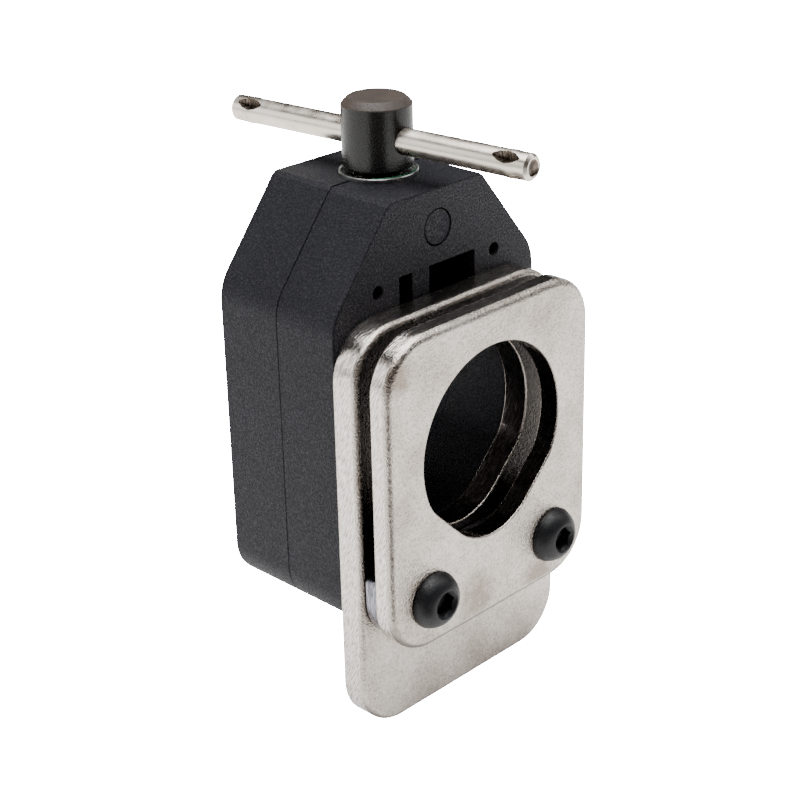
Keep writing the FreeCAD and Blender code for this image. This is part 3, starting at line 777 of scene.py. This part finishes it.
# Faces on the ends and inside the nicks get the dark material; inside the nicks it is
# painted shade.
for face in bm.faces:
    centre = face.calc_center_median()
    across = math.hypot(centre.x, centre.y)
    from_end = bar_half - abs(centre.z)
    if (from_end < 0.45 and across < 1.45) or (0.7 < from_end < 8 and across < 2.25):
        face.material_index = 1
bmesh.ops.rotate(bm, verts=bm.verts, matrix=Matrix.Rotation(math.radians(90), 3, "X"))
bmesh.ops.rotate(bm, verts=bm.verts, matrix=Matrix.Rotation(math.radians(-46), 3, "Y"))
bmesh.ops.rotate(bm, verts=bm.verts, matrix=Matrix.Rotation(bar_turn, 3, "Z"))
bmesh.ops.translate(bm, verts=bm.verts, vec=(0, body_split, cross_level))
t_bar = finish_mesh("t_bar_plated", bm, [nickel_bar, bar_end_and_nick_shade], "bar")
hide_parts("t_bar")

# ------------------------------------------------------------ clamp nut
# A steel nut with a round collar and a square flange that is trapped between the two
# halves. It is turned and milled, then zinc plated. The flange below is a plain block,
# hidden in the housing, and the screw runs through it.
collar_radius = 7.1
collar_top = 43.9
nut_bottom = 33.0
nut_bore = 4.78
flange_side = 18.0
flange_thick = 5.0


# Bright zinc is a pale, slightly green-grey metal with an even, faintly cloudy gloss.
def zinc_plate():
    made, tree, shader = begin("bright zinc plate on steel",
                               {"Metallic": 1.0, "Roughness": 0.33})
    place = put(tree, "TexCoord").outputs["Object"]
    cloud = put(tree, "TexNoise", {"Vector": place, "Scale": 400.0, "Detail": 4.0})
    tone = put(tree, "ValToRGB", {"Fac": cloud.outputs["Fac"]})
    ramp_stops(tone, [(0.3, "8f9490"), (0.7, "c3c8c4")])
    tree.links.new(tone.outputs["Color"], shader.inputs["Base Color"])
    return made


zinc = zinc_plate()
bm = bmesh.new()
turned(bm, [(nut_bore, nut_bottom), (nut_bore, 42.9), (6.5, 43.0), (6.62, 43.7),
            (6.8, collar_top), (7.0, collar_top), (collar_radius, 43.78),
            (collar_radius, 38.0), (collar_radius, nut_bottom), (nut_bore, nut_bottom)], 96)
flange = bmesh.ops.create_cube(bm, size=1.0)["verts"]
bmesh.ops.scale(bm, verts=flange, vec=(flange_side, flange_side, flange_thick))
bmesh.ops.translate(bm, verts=flange, vec=(0, 0, nut_bottom + flange_thick / 2))
bmesh.ops.bevel(bm, geom=list({edge for vert in flange for edge in vert.link_edges}),
                offset=0.4, segments=2, affect="EDGES")
bmesh.ops.translate(bm, verts=bm.verts, vec=(0, body_split, 0))
clamp_nut = finish_mesh("clamp_nut_zinc", bm, [zinc], "housing")
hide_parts("clamp_nut")

# ------------------------------------------------------------ thread locker
# A thin bead of green anaerobic thread locker has run out and set round the front of the
# collar. It is smooth and glossy, like a hard resin.
locker, tree, shader = begin("green anaerobic thread locker, set",
                             {"Base Color": linear("2f6b4d"), "Roughness": 0.3})
bm = bmesh.new()
rings = []
for k in range(31):
    angle = math.radians(215 + 95 * k / 30)
    thick = 0.17 * math.sin(math.pi * min(1.0, 0.06 + k / 32)) ** 0.5
    thick *= 1 + 0.25 * math.sin(k * 1.9)
    ring = []
    for m in range(8):
        swing = 2 * math.pi * m / 8
        reach = 6.6 + thick * math.cos(swing)
        ring.append(bm.verts.new((reach * math.cos(angle),
                                  body_split + reach * math.sin(angle),
                                  43.84 + thick * math.sin(swing))))
    rings.append(ring)
for low, high in zip(rings, rings[1:]):
    for m in range(8):
        bm.faces.new((low[m - 1], low[m], high[m], high[m - 1]))
bm.faces.new(rings[0])
bm.faces.new(reversed(rings[-1]))
bead = finish_mesh("thread_locker_bead", bm, [locker], "housing")

# ------------------------------------------------------------ jaw, pins and case screws
# The jaw is a milled and blacked steel block that slides down on the tube. The washer and
# pins that join it to the screw are zinc plated, and the case screws are blacked.
blacked_jaw = blacked("black oxide on milled steel", "161515", "22201f", 0.45, 0.00008)
inner = {"thrust_washer": zinc, "jaw_pin_left": zinc,
         "jaw_pin_right": zinc, "clamp_jaw": blacked_jaw}
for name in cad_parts:
    if name.startswith(("housing_screw", "plate_screw")):
        inner[name] = blacked_button
for name, material in inner.items():
    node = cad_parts[name]
    node.data.materials.clear()
    node.data.materials.append(material)

# ------------------------------------------------------------ camera
# A long lens stands a little above and to the left of the part, rolled by a degree.
azimuth = math.radians(-45.87)
elevation = math.radians(23.206)
roll = math.radians(-1.154)
distance = 0.319593
aim_point = Vector((-0.0056417, 0, 0.0120065))
back = Vector((math.sin(azimuth) * math.cos(elevation),
               -math.cos(azimuth) * math.cos(elevation), math.sin(elevation)))
right = Vector((0, 0, 1)).cross(back).normalized()
up = back.cross(right)
level = right * math.cos(roll) + up * math.sin(roll)
upright = up * math.cos(roll) - right * math.sin(roll)
lens = bpy.data.cameras.new("camera")
lens.lens = 82.34
lens.sensor_width = 36.0
lens.shift_x = -0.0212
lens.shift_y = -0.0430
lens.clip_start = 0.01
camera = bpy.data.objects.new("camera", lens)
seat = Matrix((level, upright, back)).transposed().to_4x4()
camera.matrix_world = Matrix.Translation(aim_point + back * distance) @ seat
bpy.context.scene.collection.objects.link(camera)
bpy.context.scene.camera = camera


# ------------------------------------------------------------ table
# The table is matt white and is seen brighter than it lights the part from below.
def lay(name, bm, material, height):
    """Lay a flat stage piece at a height."""
    mesh = bpy.data.meshes.new(name)
    bm.to_mesh(mesh)
    bm.free()
    mesh.materials.append(material)
    thing = bpy.data.objects.new(name, mesh)
    thing.location = (0, 0, height)
    bpy.context.scene.collection.objects.link(thing)
    thing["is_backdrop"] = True
    return thing


white, tree, shader = begin("matt white table board", {"Base Color": linear("f2f1ef"),
                                                       "Roughness": 0.8})
seen = put(tree, "LightPath").outputs["Is Camera Ray"]
glow = put(tree, "Emission", {"Strength": 60.0})
both = put(tree, "MixShader", {0: seen, 1: shader.outputs["BSDF"],
                               2: glow.outputs["Emission"]})
shader.inputs["Emission Color"].default_value = linear("ffffff")
shader.inputs["Emission Strength"].default_value = 0.55
tree.links.new(both.outputs["Shader"], tree.nodes["Material Output"].inputs["Surface"])
bm = bmesh.new()
bmesh.ops.create_grid(bm, x_segments=1, y_segments=1, size=2.0)
lay("table", bm, white, -0.0526)

# ------------------------------------------------------------ black card
# A black card, which the camera doesn't see, lies in front of the part, so that rounded
# edges and cylinders carry a dark line down the side that faces the camera.
card_cloth, tree, shader = begin("black studio card", {"Base Color": linear("383535"),
                                                       "Roughness": 0.9})
bm = bmesh.new()
aim = Vector((math.sin(azimuth), -math.cos(azimuth), 0))
side = Vector((aim.y, -aim.x, 0))
corners = [aim * 0.05 - side * 0.02, aim * 0.05 + side * 0.02,
           aim * 0.7 + side * 0.34, aim * 0.7 - side * 0.34]
bm.faces.new([bm.verts.new(corner) for corner in corners])
card = lay("card", bm, card_cloth, -0.0516)
card.visible_camera = False

# ------------------------------------------------------------ lights
# Four soft boxes stand round the part in a dark room, the largest of them overhead.
world = bpy.data.worlds.new("studio")
world.use_nodes = True
world.node_tree.nodes["Background"].inputs["Color"].default_value = linear("100f0f")
world.node_tree.nodes["Background"].inputs["Strength"].default_value = 1.0
bpy.context.scene.world = world

for name, spot, size, power in (
        ("overhead box", (0.0, 0.1, 1.2), 1.2, 40.0),
        ("left box", (-0.72, 0.70, 0.36), 0.6, 2.6),
        ("right box", (0.9, 0.25, 0.06), 0.35, 0.8),
        ("front right box", (0.75, -0.45, 0.72), 0.45, 2.2)):
    light = bpy.data.lights.new(name, "AREA")
    light.size = size
    light.energy = power
    lamp = bpy.data.objects.new(name, light)
    lamp.location = spot
    lamp.rotation_euler = Vector(spot).to_track_quat("Z", "Y").to_euler()
    bpy.context.scene.collection.objects.link(lamp)
    lamp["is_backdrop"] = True

low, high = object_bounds()
